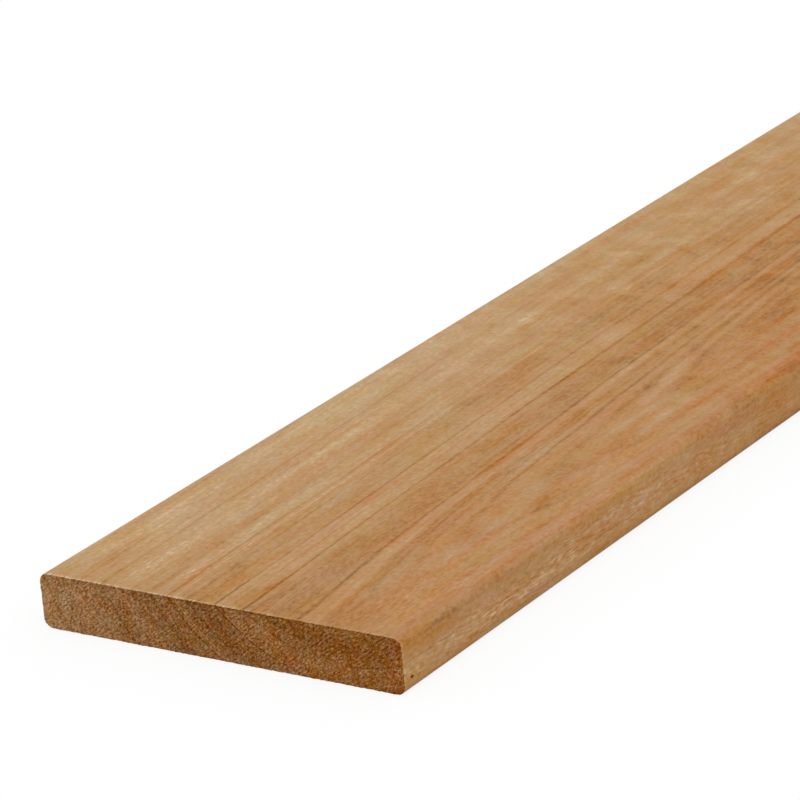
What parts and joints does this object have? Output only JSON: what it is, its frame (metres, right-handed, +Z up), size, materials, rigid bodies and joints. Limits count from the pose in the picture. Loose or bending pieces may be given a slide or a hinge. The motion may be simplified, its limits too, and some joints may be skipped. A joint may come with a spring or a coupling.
{
  "type": "decking board",
  "caption": "Flat hardwood decking board, planed smooth on every face, with rounded long arrises and square-sawn ends, laid across joists as a walking surface.",
  "frame": {"origin": "middle of the underside, which lies on the joists", "axes": "+X along the board's length, +Y across its width, +Z up through its thickness to the tread"},
  "size_m": [1.85, 0.145, 0.02],
  "materials": {
    "hardwood": "planed smooth, unoiled"
  },
  "bodies": {
    "root": {"decking_board": "hardwood"}
  },
  "joints": []
}
